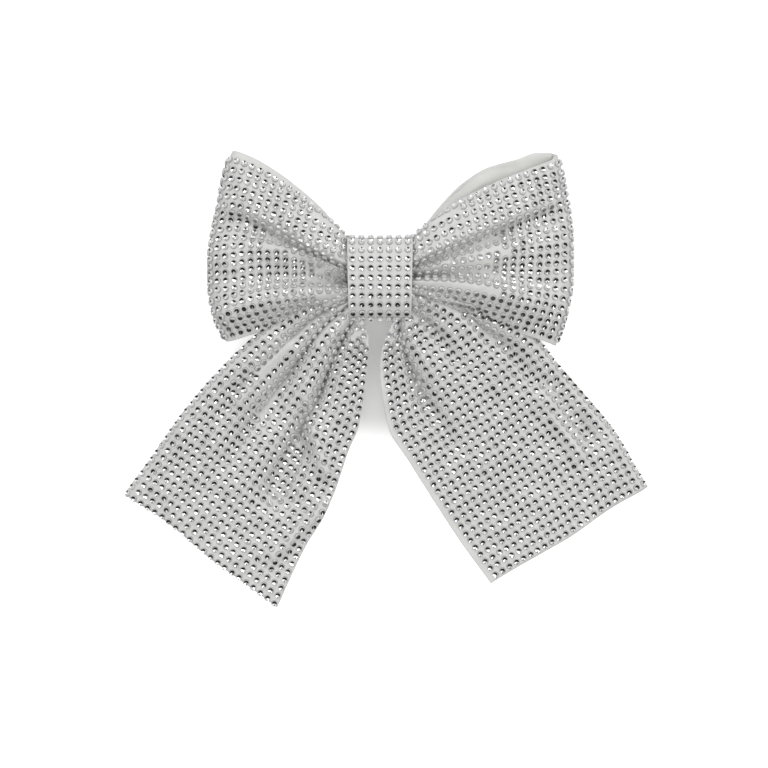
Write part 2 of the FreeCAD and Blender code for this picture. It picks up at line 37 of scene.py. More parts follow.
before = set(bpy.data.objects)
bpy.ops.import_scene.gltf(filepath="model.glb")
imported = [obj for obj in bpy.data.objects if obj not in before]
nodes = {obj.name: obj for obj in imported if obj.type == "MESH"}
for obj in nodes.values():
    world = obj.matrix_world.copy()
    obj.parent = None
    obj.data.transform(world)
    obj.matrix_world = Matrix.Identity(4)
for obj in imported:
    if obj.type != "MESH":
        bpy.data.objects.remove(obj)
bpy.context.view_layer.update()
dice = np.random.default_rng(41)


# ---------------------------------------------------------------- curves and surfaces, in millimetres


def smooth_curve(knots, values, where):
    """Monotone cubic through the values, so that a crease never overshoots its neighbours."""
    knots = np.asarray(knots, float)
    values = np.asarray(values, float)
    where = np.asarray(where, float)
    step = np.diff(knots)[:, None]
    slope = np.diff(values, axis=0) / step
    tangent = np.zeros_like(values)
    before, after = slope[:-1], slope[1:]
    turning = before * after <= 0
    first = 2 * step[1:] + step[:-1]
    second = step[1:] + 2 * step[:-1]
    safe_before = np.where(turning, 1, before)
    safe_after = np.where(turning, 1, after)
    mean = (first + second) / (first / safe_before + second / safe_after)
    tangent[1:-1] = np.where(turning, 0, mean)
    tangent[0], tangent[-1] = slope[0], slope[-1]
    index = np.clip(np.searchsorted(knots, where) - 1, 0, len(knots) - 2)
    width = step[index]
    t = (where[:, None] - knots[index][:, None]) / width
    start, end = values[index], values[index + 1]
    return (
        (2 * t**3 - 3 * t**2 + 1) * start
        + (t**3 - 2 * t**2 + t) * width * tangent[index]
        + (3 * t**2 - 2 * t**3) * end
        + (t**3 - t**2) * width * tangent[index + 1]
    )


def along(points, where):
    """Points on a smooth line through the given ones; where runs from 0 to 1 by length."""
    points = np.asarray(points, float)
    steps = np.linalg.norm(np.diff(points, axis=0), axis=1)
    knots = np.concatenate([[0], np.cumsum(steps)])
    return smooth_curve(knots / knots[-1], points, where)


def distance_to(path, x, z):
    """Distance from each place to a bent line in the plane of the front."""
    best = np.full(x.shape, 1e9)
    for (ax, az), (bx, bz) in zip(path, path[1:]):
        run = (bx - ax) ** 2 + (bz - az) ** 2
        t = np.clip(((x - ax) * (bx - ax) + (z - az) * (bz - az)) / run, 0, 1)
        best = np.minimum(best, np.hypot(x - ax - t * (bx - ax), z - az - t * (bz - az)))
    return best


def add_folds(surface, folds):
    """Raises soft ridges (positive height) and sinks valleys (negative) along bent lines."""
    x, z = surface[..., 0], surface[..., 2]
    for height, width, path in folds:
        surface[..., 1] -= height * np.exp(-((distance_to(path, x, z) / width) ** 2))


def add_wrinkles(surface, height, size, seed):
    """Small irregular unevenness, as cloth has under stones."""
    flat = surface.reshape(-1, 3)
    for point in flat:
        place = Vector((point[0] / size + seed, point[2] / size, point[1] / size))
        point[1] += height * noise.noise(place)


# Each line of a loop runs from the knot to the fold: distance from the middle, depth, height.
# The first number is its share of the ribbon's width, from the top hem to the bottom one.
LEFT_LINES = [
    (0.00, [(7, 5, -8), (9.5, 8, -9.5), (13.5, 14.6, -12.5), (18, 19.7, -15.2), (24, 24.9, -16.2),
            (30, 29.4, -16.8), (37.5, 33.9, -16.6), (43.6, 36.3, -14.5)]),
    (0.08, [(7, 9, -10), (9.5, 10.4, -12.5), (13.5, 14.0, -15.5), (18, 17.2, -17), (24, 21.4, -17.8),
            (30, 25.4, -18.1), (37.5, 29.6, -17.8), (45, 32.2, -15)]),
    (0.26, [(7, 1.5, -15), (9.5, 2.4, -16.6), (13.5, 4.2, -18), (18, 6.6, -18.9), (24, 9.9, -19.5),
            (31.5, 14.6, -19.5), (38, 18, -18.8), (43.5, 19.8, -17.4), (47.8, 19.6, -14.4)]),
    (0.335, [(7, 1, -11), (9.5, 1.4, -12.2), (13.5, 2.6, -13.4), (18, 4.8, -14.2), (24, 7.4, -15),
             (31.5, 11.2, -15.4), (38, 13.9, -15.8), (44, 15.4, -15.6), (49, 14.6, -13.6)]),
    (0.46, [(7, 0.2, -13), (9.5, 0.3, -14.2), (15, 2.6, -15.2), (22, 5, -16.4), (31.6, 6.9, -17.6),
            (38, 7, -17.7), (44, 6.6, -16.9), (50.2, 5.6, -13.6)]),
    (0.62, [(7, -2.6, -9), (9.5, -2.8, -9.8), (15, -2, -12), (22, -1.2, -13.8), (31.6, -1.4, -15.4),
            (38, -2.2, -16.2), (44, -3.4, -16), (50.3, -3.9, -13.4)]),
    (0.80, [(7, -5.6, -15), (9.5, -5.9, -16.8), (15, -6.1, -18), (22.2, -6.5, -18.7), (32.7, -7.5, -18.8),
            (40, -9, -18), (46, -10.7, -16.4), (49.2, -12.3, -13.6)]),
    (1.00, [(7, -9, -8), (9.5, -10, -9.5), (15, -11.6, -11), (22, -13.4, -12), (32, -16.5, -12.4),
            (38, -18.4, -12.4), (45.6, -20.6, -11.6)]),
]
# Where each line of a loop turns over, and the top and bottom hems of its back layer.
LEFT_FOLD = [
    (44.4, 36.3), (46.3, 31.5), (48.8, 18.8), (50, 13.8),
    (51.3, 4.6), (51.2, -4.4), (49.9, -12.6), (46.5, -20.3),
]
LEFT_BACK = [
    [(43, 34.4), (36, 31), (24, 22.8), (15, 14.5), (7, 6)],
    [(44, -18.2), (34, -15.6), (20, -11.4), (7, -7)],
]
RIGHT_LINES = [
    (0.00, [(7, 4, -7.5), (9.5, 6.5, -8.5), (13, 11, -10.5), (17, 16.2, -13.5), (21.6, 20.2, -15.4),
            (28, 23.8, -16.4), (36, 27.4, -16.8), (45, 31, -16.2), (52.3, 34.2, -14.4)]),
    (0.08, [(7, 9, -10), (9.5, 10.5, -12), (15, 14.9, -15), (21.6, 18.4, -17), (28, 21, -17.8),
            (36, 24.4, -18), (45, 27.7, -17.2), (53.3, 30.4, -14.6)]),
    (0.23, [(7, 2.2, -15), (9.5, 3.1, -16.6), (12.9, 4.7, -18), (20, 8.2, -19.2), (30, 12.6, -19.7),
            (40, 17, -19), (48.6, 20.4, -17.2), (54.7, 22.6, -14)]),
    (0.30, [(7, 1.6, -11), (9.5, 2.2, -12.4), (13, 3.4, -13.6), (20, 6, -14.9), (30, 9.8, -15.6),
            (40, 13.5, -16), (48.6, 16.5, -15.4), (55.9, 18.2, -13.4)]),
    (0.46, [(7, 0.3, -13), (9.5, 0.6, -14.4), (20, 2.8, -16.4), (27, 3.9, -17.4), (37.8, 6, -17.9),
            (43, 6.5, -17.6), (50, 7.5, -16.6), (56.9, 8.4, -13.4)]),
    (0.62, [(7, -1, -9), (9.5, -1, -10), (20, -0.6, -13.2), (30, -0.9, -15), (40, -1.6, -16.2),
            (50, -2.1, -15.9), (56.9, -1.8, -13.4)]),
    (0.80, [(7, -2.6, -15), (9.5, -2.8, -16.8), (18, -3.1, -18.4), (29.4, -4.2, -18.9), (42, -7.2, -18.2),
            (50, -8.8, -16.4), (55.9, -10.2, -13.4)]),
    (1.00, [(7, -8, -8), (9.5, -9, -9.5), (20, -11.6, -11.6), (30, -14.6, -12.4), (40, -17.8, -12.6),
            (48, -20.1, -12.4), (52.3, -21.6, -11.4)]),
]
RIGHT_FOLD = [
    (53.3, 35.4), (54.6, 31), (56, 23), (56.9, 17.8), (57.6, 7.5), (57.4, -3), (56.1, -11.1), (52.9, -21.8),
]
RIGHT_BACK = [
    [(52.6, 36.2), (48, 36.2), (42, 34.6), (33, 32.2), (25.5, 27.7), (18, 20.2), (12, 12.5), (7, 6)],
    [(50, -19.5), (40, -16.4), (20, -10.6), (7, -7)],
]
FRONT_STEPS, FOLD_STEPS, BACK_STEPS, WIDTH_STEPS = 100, 14, 60, 150
BACK_Y = -7.2
BACK_KNOTS = 12
BACK_SWELL, BACK_SWELL_TURNS = 0.9, 3.2
BACK_PLEATS, BACK_PLEAT_DEPTH, BACK_PLEAT_FADE = 7, 1.5, 1.3
LOOP_WRINKLES = ((0.5, 5.5), (0.2, 2.4))
TAIL_WRINKLES = ((0.5, 7.5), (0.15, 2.6))
NEXT_SEED = 9


def loop_surface(lines, fold, back, side, seed):
    """The outer face of a loop as a grid of points: front layer from the knot, fold, back layer."""
    shares = np.array([share for share, points in lines])
    fronts, folds, backs = [], [], []
    top, bottom = back
    back_way = np.linspace(0, 1, BACK_KNOTS)
    for (share, points), (fold_x, fold_z) in zip(lines, fold):
        line = np.array([(x, y, z) for x, z, y in points], float)
        upper = along([(x, BACK_Y, z) for x, z in top], back_way)
        lower = along([(x, BACK_Y, z) for x, z in bottom], back_way)
        rear = upper * (1 - share) + lower * share
        rear[:, 0] += (fold_x - 1 - rear[0, 0]) * np.linspace(1, 0, BACK_KNOTS) ** 2
        swell = BACK_SWELL * math.sin(share * math.pi * BACK_SWELL_TURNS)
        rear[:, 1] -= swell * np.linspace(0.3, 1, BACK_KNOTS)
        middle_y = (line[-1, 1] + BACK_Y) / 2
        whole = np.vstack([line, [[fold_x, middle_y, fold_z]], rear])
        steps = np.linalg.norm(np.diff(whole, axis=0), axis=1)
        knots = np.concatenate([[0], np.cumsum(steps)])
        edge, start = knots[len(line) - 1], knots[len(line) + 1]
        where = np.concatenate([
            np.linspace(0, edge, FRONT_STEPS + 1),
            np.linspace(edge, start, FOLD_STEPS + 1)[1:],
            np.linspace(start, knots[-1], BACK_STEPS + 1)[1:],
        ])
        fronts.append(smooth_curve(knots, whole, where))
    stack = np.array(fronts)
    across = np.linspace(0, 1, WIDTH_STEPS + 1)
    surface = smooth_curve(shares, stack.reshape(len(shares), -1), across)
    surface = surface.reshape(len(across), -1, 3).transpose(1, 0, 2).copy()
    surface[..., 0] *= side
    ruler = surface.copy()
    closing = np.linspace(0, 1, BACK_STEPS)[:, None] ** BACK_PLEAT_FADE
    pleats = np.sin(across * 2 * math.pi * BACK_PLEATS)[None, :]
    surface[-BACK_STEPS:, :, 1] += BACK_PLEAT_DEPTH * closing * pleats
    for number, (height, size) in enumerate(LOOP_WRINKLES):
        add_wrinkles(surface, height, size, seed + number * NEXT_SEED)
    return surface, ruler


# A tail's edges run from the knot to the hem. Its valleys are places across its width, from the outer
# edge, where the gathered cloth sinks away, each with how wide it is and how much it takes up.
LEFT_TAIL = {
    "outer": [(-8.5, -5.8), (-22, -8.8), (-31, -13.8), (-38.4, -19.4), (-49.8, -30.4), (-60, -42.1),
              (-69.9, -55.8), (-77.7, -66)],
    "inner": [(-5.4, -13.6), (-4.4, -16.2), (-3.4, -20.4), (-4.5, -33.8), (-6.4, -45.9), (-9.4, -53.1),
              (-12.8, -63.2), (-16.4, -72), (-23.4, -83.5), (-31.2, -100.2)],
    "valleys": [(0.16, 0.045, 0.6), (0.35, 0.055, 1.1), (0.66, 0.08, 1.2)],
    "fade": (0.4, 0.8),
    "folds": [
        (2.0, 2.4, [(-29, -21.5), (-36.6, -28.4), (-42.2, -37.5)]),
        (-2.2, 5.4, [(-27.5, -28), (-30, -36), (-31, -42)]),
        (-2.4, 4.6, [(-25, -54), (-28, -60), (-31, -65)]),
        (1.6, 2.0, [(-21.2, -38), (-19.8, -50.5), (-16.6, -59.3)]),
        (1.4, 1.8, [(-16.7, -70.4), (-24, -77), (-32, -85)]),
    ],
}
RIGHT_TAIL = {
    "outer": [(8.5, -5), (18, -5.9), (27, -7.6), (37.8, -13.1), (46.2, -18.4), (54.4, -28), (60.1, -34.3),
              (64.7, -39.5), (71, -47), (76.2, -55.5), (81.3, -63.9)],
    "inner": [(4.5, -13.8), (3.1, -16.6), (1.4, -20.3), (0.3, -24.6), (0, -28.5), (1.2, -40.1), (2.7, -47),
              (8.4, -56.1), (17.1, -69.9), (24.6, -81.3), (33.6, -93.7)],
    "valleys": [(0.16, 0.06, 1.0), (0.42, 0.04, 0.2), (0.73, 0.07, 1.1)],
    "fade": (0.3, 0.72),
    "folds": [
        (-2.4, 4.4, [(54, -34), (58, -41), (63, -48)]),
        (1.4, 2.6, [(50, -37), (54, -45), (60, -54)]),
    ],
}
TAIL_STEPS = 120
TAIL_ARC_RADIUS, TAIL_ARC_Y, TAIL_ARC_Z = 348.6, -353.8, -95
DEEPEST_VALLEY = 7.0
VALLEY_BOTTOM = 0.012
TIGHTEST = 0.12
STEEPEST = 0.1
OPEN_FROM = 0.98
HEM_WAVE = 1.6
ROLLED_EDGE, ROLLED_EDGE_WIDTH = 2.2, 2.2
TAIL_BACK_LIMIT = -3.6


def gather(valleys, open_width, fade_start, fade_end):
    """Where the cloth's shares of width lie across a gathered strip, and how deep each one sinks."""
    share = np.linspace(0, 1, WIDTH_STEPS + 1)
    takes = sum(weight * np.exp(-(((share - centre) / width) ** 2)) for centre, width, weight in valleys)
    centres = np.array([centre for centre, width, weight in valleys])
    nearest = centres[np.abs(share[:, None] - centres[None, :]).argmin(axis=1)]
    downhill = -np.tanh((share - nearest) / VALLEY_BOTTOM)
    step = 1 / WIDTH_STEPS
    places, depths = [], []
    for way, width in zip(np.linspace(0, 1, len(open_width)), open_width):
        fade = 1 - np.clip((way - fade_start) / (fade_end - fade_start), 0, 1)
        fade = fade * fade * (3 - 2 * fade)
        hidden = 1 - min(width / (OPEN_FROM * open_width[-1]), 1)
        target = max(1 - hidden * fade, TIGHTEST)
        speed = np.clip(1 - takes * (1 - target) / takes.mean(), STEEPEST, 1)
        lies = np.concatenate([[0], np.cumsum((speed[1:] + speed[:-1]) / 2)])
        places.append(lies / lies[-1])
        slope = np.sqrt(1 - speed**2) * downhill * RIBBON_WIDTH * step
        depth = np.concatenate([[0], np.cumsum((slope[1:] + slope[:-1]) / 2)])
        depth = depth - share * depth[-1]
        depths.append(DEEPEST_VALLEY * np.tanh(depth / DEEPEST_VALLEY))
    return np.array(places), np.array(depths)


def tail_surface(tail, seed):
    """The face of a tail as a grid of points, from the knot to the hem and from its outer edge inwards."""
    where = np.linspace(0, 1, TAIL_STEPS + 1)
    outer = along([(x, 0, z) for x, z in tail["outer"]], where)
    inner = along([(x, 0, z) for x, z in tail["inner"]], where)
    place, depth = gather(tail["valleys"], np.linalg.norm(outer - inner, axis=1), *tail["fade"])
    share = np.linspace(0, 1, WIDTH_STEPS + 1)
    wave = np.array([noise.noise(Vector((value * 3 + seed, 0.5, 0))) for value in share])
    surface = outer[:, None, :] * (1 - place[..., None]) + inner[:, None, :] * place[..., None]
    z = surface[..., 2]
    surface[..., 1] = TAIL_ARC_Y + np.sqrt(TAIL_ARC_RADIUS**2 - (z - TAIL_ARC_Z) ** 2)
    surface[..., 1] += depth
    ruler = surface.copy()
    surface[..., 2] += HEM_WAVE * wave[None, :] * where[:, None] ** 3
    add_folds(surface, tail["folds"])
    from_edge = share[None, :] * RIBBON_WIDTH / ROLLED_EDGE_WIDTH
    surface[..., 1] += ROLLED_EDGE * np.exp(-(from_edge**2)) * np.minimum(where[:, None] * 4, 1)
    surface[..., 1] = np.minimum(surface[..., 1], TAIL_BACK_LIMIT)
    for number, (height, size) in enumerate(TAIL_WRINKLES):
        add_wrinkles(surface, height, size, seed + number * NEXT_SEED)
    return surface, ruler


BAND_MIDDLE = np.array([0, -12.55, -1.65])
BAND_HALF_DEPTH, BAND_HALF_HEIGHT, BAND_SQUARENESS = 6.65, 12.3, 2.5
BAND_STEPS, BAND_WIDTH_STEPS = 140, 30
BAND_HALF_WIDTH = 9.55
BAND_FLARE = 0.25
BAND_HOLLOW = 0.02


def band_surface():
    """The face of the knot band, all the way round, as a grid of points from the middle of its back."""
    turn = np.linspace(0, 2 * math.pi, 721)
    power = 2 / BAND_SQUARENESS
    ring = np.zeros((len(turn), 3))
    ring[:, 1] = BAND_HALF_DEPTH * np.sign(np.cos(turn)) * np.abs(np.cos(turn)) ** power
    ring[:, 2] = BAND_HALF_HEIGHT * np.sign(np.sin(turn)) * np.abs(np.sin(turn)) ** power
    steps = np.linalg.norm(np.diff(ring, axis=0), axis=1)
    knots = np.concatenate([[0], np.cumsum(steps)])
    where = np.linspace(0, knots[-1], BAND_STEPS + 1)
    path = np.stack([np.interp(where, knots, ring[:, axis]) for axis in range(3)], axis=1)
    share = np.linspace(-1, 1, BAND_WIDTH_STEPS + 1)
    half = BAND_HALF_WIDTH + BAND_FLARE * path[:, 2] / BAND_HALF_HEIGHT
    surface = np.repeat(path[:, None, :], len(share), axis=1)
    hollow = 1 - BAND_HOLLOW * (1 - np.abs(share) ** 2.5)
    surface[..., 1] *= hollow[None, :]
    surface[..., 2] *= hollow[None, :]
    surface[..., 0] = half[:, None] * share[None, :]
    return surface + BAND_MIDDLE


# ---------------------------------------------------------------- meshes


def surface_normals(surface):
    """Unit outward normals of a grid of points."""
    du = np.gradient(surface, axis=0)
    dv = np.gradient(surface, axis=1)
    normal = np.cross(du, dv)
    length = np.linalg.norm(normal, axis=2, keepdims=True)
    return normal / np.maximum(length, 1e-9)


def even_normals(surface, rounds=6):
    """Normals averaged with their neighbours, so that a layer under a tight fold doesn't cross itself."""
    normal = surface_normals(surface)
    for _ in range(rounds):
        padded = np.pad(normal, ((1, 1), (1, 1), (0, 0)), mode="edge")
        normal = padded[:-2, 1:-1] + padded[2:, 1:-1] + padded[1:-1, :-2] + padded[1:-1, 2:] + 2 * normal
        normal /= np.maximum(np.linalg.norm(normal, axis=2, keepdims=True), 1e-9)
    return normal


def cloth_piece(name, surface, thickness, inset, material):
    """A closed sheet of cloth whose outer face follows the grid of points, inset below it."""
    rows, columns = surface.shape[:2]
    normals = even_normals(surface)
    bm = bmesh.new()
    bm.loops.layers.uv.new("weave")
    edges = []
    for depth, flip in ((inset, False), (inset + thickness, True)):
        layer = surface - normals * depth
        made = bmesh.ops.create_grid(
            bm, x_segments=rows - 1, y_segments=columns - 1, size=0.5, calc_uvs=True
        )
        for vertex in made["verts"]:
            i = round((vertex.co.x + 0.5) * (rows - 1))
            j = round((vertex.co.y + 0.5) * (columns - 1))
            vertex.co = layer[i, j] * MM
        faces = {face for vertex in made["verts"] for face in vertex.link_faces}
        if flip:
            bmesh.ops.reverse_faces(bm, faces=list(faces))
        edges += [edge for vertex in made["verts"] for edge in vertex.link_edges if edge.is_boundary]
    bmesh.ops.bridge_loops(bm, edges=list(set(edges)))
    bmesh.ops.recalc_face_normals(bm, faces=bm.faces[:])
    mesh = bpy.data.meshes.new(name)
    bm.to_mesh(mesh)
    bm.free()
    mesh.shade_smooth()
    mesh.materials.append(material)
    piece = bpy.data.objects.new(name, mesh)
    bpy.context.scene.collection.objects.link(piece)
    return piece


GIRDLE_TAPER = 0.88


def stone_template(sides, radius, girdle, height, mouth, floor):
    """One flat-backed cut stone: girdle, sloping crown and the mirrored facets of its foiled back, with the
    girdle faces marked for a painted dark outline.
    """
    bm = bmesh.new()
    bmesh.ops.create_circle(bm, cap_ends=True, segments=sides, radius=radius)
    base = bm.faces[:][0]
    raised = bmesh.ops.duplicate(bm, geom=[base])
    top = [item for item in raised["geom"] if isinstance(item, bmesh.types.BMFace)][0]
    bmesh.ops.translate(bm, verts=top.verts[:], vec=(0, 0, girdle))
    bmesh.ops.scale(bm, verts=top.verts[:], vec=(GIRDLE_TAPER, GIRDLE_TAPER, 1))
    edge = bmesh.ops.bridge_loops(bm, edges=base.edges[:] + top.edges[:])
    girdle_faces = set(edge["faces"])
    drop = (radius * GIRDLE_TAPER - mouth) * math.cos(math.pi / sides)
    bmesh.ops.inset_individual(bm, faces=[top], thickness=drop)
    bmesh.ops.translate(bm, verts=top.verts[:], vec=(0, 0, height - girdle))
    fan = bmesh.ops.poke(bm, faces=[top])
    bmesh.ops.translate(bm, verts=fan["verts"], vec=(0, 0, floor - height))
    bmesh.ops.recalc_face_normals(bm, faces=bm.faces[:])
    bm.verts.index_update()
    inner = set(fan["faces"])
    points = np.array([vertex.co[:] for vertex in bm.verts])
    faces = [[vertex.index for vertex in face.verts] for face in bm.faces]
    cloudy = np.array([0.0 if face in inner else 1.0 for face in bm.faces])
    # Girdle faces get the low value that the crystal turns into a painted dark outline, shade round each
    # stone's edge.
    girdle_shade_base = np.array([0.0 if face in girdle_faces else 0.6 for face in bm.faces])
    bm.free()
    return points, faces, cloudy, girdle_shade_base


STONE_POINTS, STONE_FACES, STONE_CLOUDY, STONE_GIRDLE_SHADE_BASE = stone_template(
    sides=12, radius=1.0, girdle=0.4, height=0.85, mouth=0.73, floor=0.56
)
STONE_TILT = 0.055
STONE_SUNK = 0.06
STONE_UNEVEN = 0.4


def place_stones(name, spots, material):
    """All stones of one panel as one mesh. Each spot is a place, an outward normal and a direction."""
    count = len(spots)
    points = []
    tones_and_girdle_shade = []
    rims = []
    hazes = []
    for place, normal, direction, haze in spots:
        normal = normal + dice.normal(0, STONE_TILT, 3)
        normal /= np.linalg.norm(normal)
        side = np.cross(normal, direction)
        side /= max(np.linalg.norm(side), 1e-9)
        forward = np.cross(side, normal)
        turn = dice.uniform(0, math.pi)
        axis_a = side * math.cos(turn) + forward * math.sin(turn)
        axis_b = np.cross(normal, axis_a)
        across, ahead, above = STONE_POINTS[:, :1], STONE_POINTS[:, 1:2], STONE_POINTS[:, 2:]
        points.append(place + across * axis_a + ahead * axis_b + (above - STONE_SUNK) * normal)
        tones_and_girdle_shade.append(STONE_GIRDLE_SHADE_BASE + dice.uniform(0, STONE_UNEVEN, len(STONE_FACES)))
        rims.append(STONE_CLOUDY)
        hazes.append(np.full(len(STONE_FACES), haze))
    size = len(STONE_POINTS)
    faces = [[index + number * size for index in face] for number in range(count) for face in STONE_FACES]
    mesh = bpy.data.meshes.new(name)
    mesh.from_pydata((np.concatenate(points) * MM).tolist(), [], faces)
    for label, values in (("tone_and_girdle_shade", tones_and_girdle_shade), ("rim", rims), ("haze", hazes)):
        layer = mesh.attributes.new(label, "FLOAT", "FACE")
        layer.data.foreach_set("value", np.concatenate(values).astype(np.float32))
    mesh.materials.append(material)
    piece = bpy.data.objects.new(name, mesh)
    bpy.context.scene.collection.objects.link(piece)
    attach(piece, "bow")
    return piece


def blend_columns(grid, share):
    """One lengthwise line of a grid at a share of its width."""
    column = share * (grid.shape[1] - 1)
    low = min(int(column), grid.shape[1] - 2)
    part = column - low
    return grid[:, low] * (1 - part) + grid[:, low + 1] * part


END_MARGIN = 0.5
PITCH_SCATTER = 0.04
CELL = 3


def stones_on(surface, ruler, start_row, pitch, gap, shares):
    """Spots for stones: rows at shares of the width, columns at even lengths of the ruler."""
    normals = surface_normals(surface)
    cells = {}
    spots = []
    lines = [blend_columns(surface, share) for share in shares]
    for row, share in enumerate(shares):
        line = lines[row]
        other = lines[row + 1] if row + 1 < len(lines) else lines[row - 1]
        spread = np.hypot(other[:, 0] - line[:, 0], other[:, 2] - line[:, 2]) / pitch
        normal = blend_columns(normals, share)
        steps = np.linalg.norm(np.diff(blend_columns(ruler, share), axis=0), axis=1)
        length = np.concatenate([[0], np.cumsum(steps)])
        origin = length[start_row]
        first = -math.floor((origin - END_MARGIN) / pitch)
        last = math.floor((length[-1] - origin - END_MARGIN) / pitch)
        for step in sorted(range(first, last + 1), key=abs):
            at = origin + step * pitch + dice.normal(0, PITCH_SCATTER)
            place, facing, ahead = (
                np.array([np.interp(at + shift, length, values[:, axis]) for axis in range(3)])
                for shift, values in ((0, line), (0, normal), (0.5, line))
            )
            ahead = ahead - place
            key = tuple(int(math.floor(value / CELL)) for value in place)
            near = [
                other_place
                for i in (-1, 0, 1)
                for j in (-1, 0, 1)
                for k in (-1, 0, 1)
                for other_place in cells.get((key[0] + i, key[1] + j, key[2] + k), [])
            ]
            if any(np.linalg.norm(place - other_place) < gap for other_place in near):
                continue
            if np.linalg.norm(ahead) < 1e-6:
                continue
            cells.setdefault(key, []).append(place)
            haze = float(np.clip((0.8 - np.interp(at, length, spread)) / 0.4, 0, 1))
            spots.append((place, facing, ahead, haze))
    return spots


# ---------------------------------------------------------------- materials


def new_material(name):
    """A material with its nodes, links and main shader."""
    material = bpy.data.materials.new(name)
    material.use_nodes = True
    tree = material.node_tree
    shader = tree.nodes["Principled BSDF"]
    return material, tree.nodes, tree.links, shader


def add_ramp(nodes_of, stops):
    """A colour ramp node with the given stops."""
    ramp = nodes_of.new("ShaderNodeValToRGB")
    elements = ramp.color_ramp.elements
    while len(elements) < len(stops):
        elements.new(0.5)
    for element, (place, colour) in zip(elements, stops):
        element.position = place
        element.color = (*colour, 1)
    return ramp


def grey(value, warm=0.0):
    """A nearly neutral colour."""
    return (value * (1 + warm), value, value * (1 - warm))


def make_satin(name, colour, roughness):
    """Pale satin with a fine weave and soft unevenness."""
    material, made, links, shader = new_material(name)
    place = made.new("ShaderNodeTexCoord")
    weave = made.new("ShaderNodeTexNoise")
    weave.inputs["Scale"].default_value = 2600
    weave.inputs["Detail"].default_value = 2
    links.new(place.outputs["Object"], weave.inputs["Vector"])
    cloud = made.new("ShaderNodeTexNoise")
    cloud.inputs["Scale"].default_value = 90
    links.new(place.outputs["Object"], cloud.inputs["Vector"])
    ramp = add_ramp(made, [(0.3, tuple(c * 0.93 for c in colour)), (0.7, colour)])
    links.new(cloud.outputs["Fac"], ramp.inputs["Fac"])
    links.new(ramp.outputs["Color"], shader.inputs["Base Color"])
    bump = made.new("ShaderNodeBump")
    bump.inputs["Strength"].default_value = 0.25
    bump.inputs["Distance"].default_value = 0.0001
    links.new(weave.outputs["Fac"], bump.inputs["Height"])
    links.new(bump.outputs["Normal"], shader.inputs["Normal"])
    shader.inputs["Roughness"].default_value = roughness
    shader.inputs["Sheen Weight"].default_value = 0.15
    return material


def make_crystal():
    """Foiled crystal: mirrored facets in the middle, a cloudy crown and girdle round them; the girdle's
    darker grey is a painted dark outline.
    """
    material, made, links, shader = new_material("crystal")
    values = {}
    for label in ("tone_and_girdle_shade", "rim", "haze"):
        values[label] = made.new("ShaderNodeAttribute")
        values[label].attribute_name = label
    mirror = add_ramp(made, [(0.6, grey(0.42)), (0.8, grey(0.72)), (1.0, grey(1.0))])
    links.new(values["tone_and_girdle_shade"].outputs["Fac"], mirror.inputs["Fac"])
    # The low end of this ramp, where the girdle faces fall, is the painted shade of each stone's dark
    # outline.
    cloud = add_ramp(made, [(0.0, grey(0.3)), (0.45, grey(0.36)), (0.6, grey(0.50)), (1.0, grey(0.6))])
    links.new(values["tone_and_girdle_shade"].outputs["Fac"], cloud.inputs["Fac"])
    clear = made.new("ShaderNodeMath")
    clear.operation = "MULTIPLY"
    clear.inputs[1].default_value = 0.7
    links.new(values["haze"].outputs["Fac"], clear.inputs[0])
    soft = made.new("ShaderNodeMath")
    soft.operation = "MAXIMUM"
    links.new(values["rim"].outputs["Fac"], soft.inputs[0])
    links.new(clear.outputs["Value"], soft.inputs[1])
    mix = made.new("ShaderNodeMix")
    mix.data_type = "RGBA"
    links.new(soft.outputs["Value"], mix.inputs["Factor"])
    links.new(mirror.outputs["Color"], mix.inputs["A"])
    links.new(cloud.outputs["Color"], mix.inputs["B"])
    links.new(mix.outputs["Result"], shader.inputs["Base Color"])
    solid = made.new("ShaderNodeMath")
    solid.operation = "SUBTRACT"
    solid.inputs[0].default_value = 1.0
    links.new(soft.outputs["Value"], solid.inputs[1])
    links.new(solid.outputs["Value"], shader.inputs["Metallic"])
    shader.inputs["Roughness"].default_value = 0.12
    return material


def make_metal(name, colour, roughness, scale):
    """Plated or drawn metal with light wear."""
    material, made, links, shader = new_material(name)
    place = made.new("ShaderNodeTexCoord")
    wear = made.new("ShaderNodeTexNoise")
    wear.inputs["Scale"].default_value = scale
    wear.inputs["Detail"].default_value = 4
    links.new(place.outputs["Object"], wear.inputs["Vector"])
    tint = add_ramp(made, [(0.35, tuple(c * 0.85 for c in colour)), (0.65, colour)])
    links.new(wear.outputs["Fac"], tint.inputs["Fac"])
    links.new(tint.outputs["Color"], shader.inputs["Base Color"])
    spread = made.new("ShaderNodeMapRange")
    spread.inputs["To Min"].default_value = roughness * 0.7
    spread.inputs["To Max"].default_value = roughness * 1.4
    links.new(wear.outputs["Fac"], spread.inputs["Value"])
    links.new(spread.outputs["Result"], shader.inputs["Roughness"])
    shader.inputs["Metallic"].default_value = 1
    return material


def make_soft(name, colour, scale, depth):
    """Felt, thread or dried glue."""
    material, made, links, shader = new_material(name)
    place = made.new("ShaderNodeTexCoord")
    fibre = made.new("ShaderNodeTexNoise")
    fibre.inputs["Scale"].default_value = scale
    fibre.inputs["Detail"].default_value = 5
    links.new(place.outputs["Object"], fibre.inputs["Vector"])
    tint = add_ramp(made, [(0.3, tuple(c * 0.8 for c in colour)), (0.7, colour)])
    links.new(fibre.outputs["Fac"], tint.inputs["Fac"])
    links.new(tint.outputs["Color"], shader.inputs["Base Color"])
    bump = made.new("ShaderNodeBump")
    bump.inputs["Distance"].default_value = depth
    links.new(fibre.outputs["Fac"], bump.inputs["Height"])
    links.new(bump.outputs["Normal"], shader.inputs["Normal"])
    shader.inputs["Roughness"].default_value = 0.85
    return material


